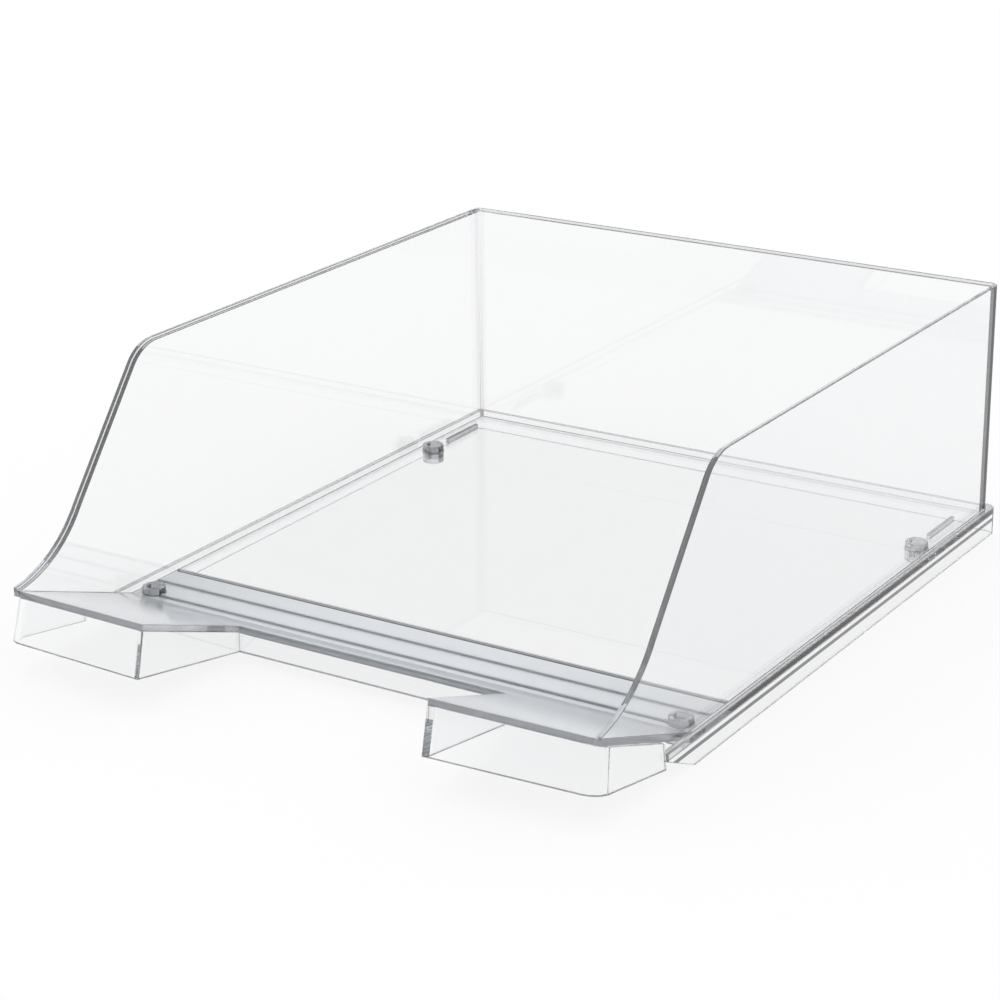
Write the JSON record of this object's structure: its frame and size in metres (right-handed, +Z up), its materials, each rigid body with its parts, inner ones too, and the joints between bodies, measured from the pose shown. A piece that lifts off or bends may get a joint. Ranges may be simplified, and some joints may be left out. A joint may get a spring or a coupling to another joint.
{
  "type": "letter tray",
  "caption": "Clear plastic letter tray with high side and back walls, an open front with a finger recess between two hollow feet, and an outer skirt for stacking.",
  "frame": {"origin": "centre of the footprint, on the desk surface under the skirt", "axes": "+X to the right seen from the open front, +Y from the open front towards the back wall, +Z up"},
  "size_m": [0.2624, 0.3365, 0.11],
  "materials": {
    "clear_polystyrene": "gloss, crystal clear"
  },
  "bodies": {
    "root": {"floor_panel": "clear_polystyrene", "floor_rib_1": "clear_polystyrene", "floor_rib_2": "clear_polystyrene", "floor_rib_3": "clear_polystyrene", "foot_front_left": "clear_polystyrene", "foot_front_right": "clear_polystyrene", "foot_inner_left": "clear_polystyrene", "foot_inner_right": "clear_polystyrene", "foot_outer_left": "clear_polystyrene", "foot_outer_right": "clear_polystyrene", "guide_rib_left": "clear_polystyrene", "guide_rib_right": "clear_polystyrene", "peg_front_left": "clear_polystyrene", "peg_front_right": "clear_polystyrene", "peg_rear_left": "clear_polystyrene", "peg_rear_right": "clear_polystyrene", "rail_back": "clear_polystyrene", "rail_corner_left": "clear_polystyrene", "rail_corner_right": "clear_polystyrene", "rail_left": "clear_polystyrene", "rail_right": "clear_polystyrene", "ramp_centre": "clear_polystyrene", "ramp_left": "clear_polystyrene", "ramp_right": "clear_polystyrene", "recess_apron": "clear_polystyrene", "wall_back": "clear_polystyrene", "wall_corner_left": "clear_polystyrene", "wall_corner_right": "clear_polystyrene", "wall_left": "clear_polystyrene", "wall_right": "clear_polystyrene"}
  },
  "joints": []
}
